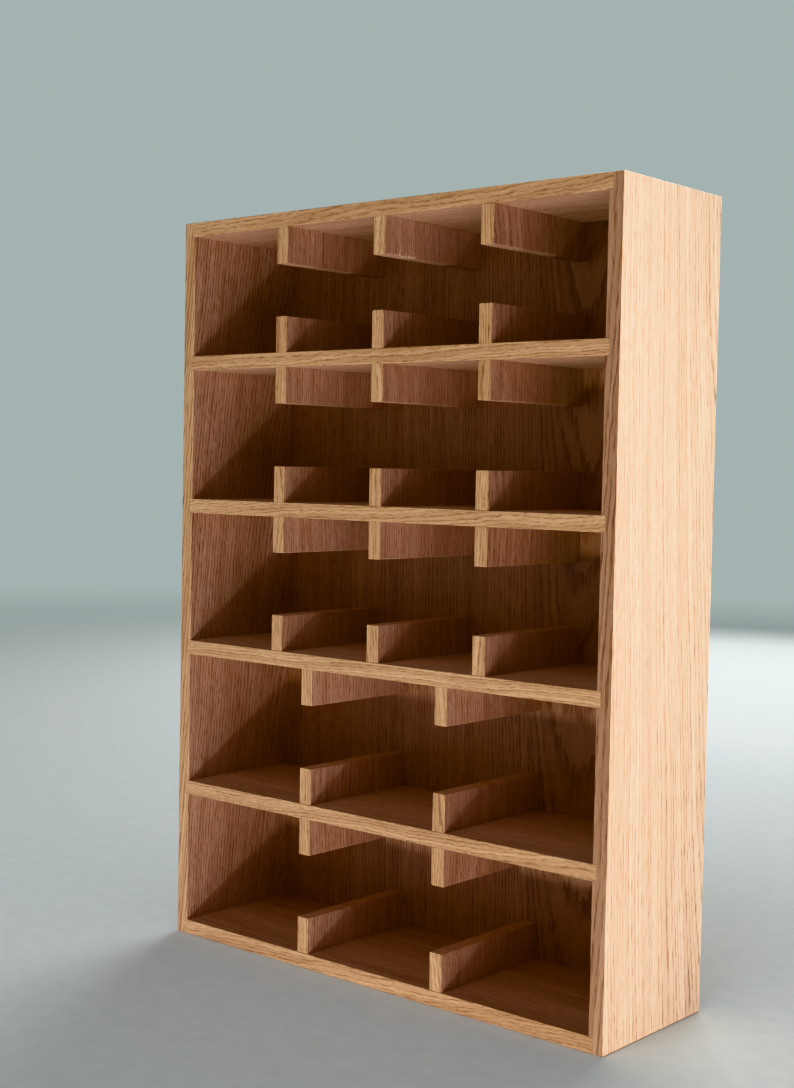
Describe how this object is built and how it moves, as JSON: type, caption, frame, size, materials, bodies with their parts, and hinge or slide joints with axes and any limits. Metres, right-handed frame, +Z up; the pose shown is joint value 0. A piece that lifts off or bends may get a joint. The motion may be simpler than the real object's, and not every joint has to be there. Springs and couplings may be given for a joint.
{
  "type": "paint rack organizer",
  "caption": "Tall shallow open-fronted oak wall rack for paint bottles: flush shelves let into full-height sides, with short stub dividers hung under and stood on every shelf.",
  "frame": {"origin": "middle of the outer footprint, on the underside of the rack", "axes": "+X to the right seen from the front, +Y from the open front to the wall, +Z up"},
  "size_m": [0.467, 0.1396, 0.647],
  "materials": {
    "oak_board": "clear satin on straight-grained red oak",
    "oak_divider": "clear satin on straight-grained red oak, grain upright",
    "oak_ply": "clear satin on oak veneer, grain upright",
    "zinc_steel": "zinc plated",
    "bright_steel": "bright wire"
  },
  "bodies": {
    "root": {"side_left": "oak_board", "side_right": "oak_board", "top_panel": "oak_board", "bottom_panel": "oak_board", "shelf_1": "oak_board", "shelf_2": "oak_board", "shelf_3": "oak_board", "shelf_4": "oak_board", "back_panel": "oak_ply", "hanging_rail_left": "oak_board", "hanging_rail_middle": "oak_board", "hanging_rail_right": "oak_board", "keyhole_plate_left": "zinc_steel", "keyhole_plate_right": "zinc_steel", "keyhole_plate_screws": "zinc_steel", "back_panel_brads": "bright_steel", "divider_row1_upper_1": "oak_divider", "divider_row1_lower_1": "oak_divider", "divider_row1_upper_2": "oak_divider", "divider_row1_lower_2": "oak_divider", "divider_row1_upper_3": "oak_divider", "divider_row1_lower_3": "oak_divider", "divider_row2_upper_1": "oak_divider", "divider_row2_lower_1": "oak_divider", "divider_row2_upper_2": "oak_divider", "divider_row2_lower_2": "oak_divider", "divider_row2_upper_3": "oak_divider", "divider_row2_lower_3": "oak_divider", "divider_row3_upper_1": "oak_divider", "divider_row3_lower_1": "oak_divider", "divider_row3_upper_2": "oak_divider", "divider_row3_lower_2": "oak_divider", "divider_row3_upper_3": "oak_divider", "divider_row3_lower_3": "oak_divider", "divider_row4_upper_1": "oak_divider", "divider_row4_lower_1": "oak_divider", "divider_row4_upper_2": "oak_divider", "divider_row4_lower_2": "oak_divider", "divider_row5_upper_1": "oak_divider", "divider_row5_lower_1": "oak_divider", "divider_row5_upper_2": "oak_divider", "divider_row5_lower_2": "oak_divider"}
  },
  "joints": []
}
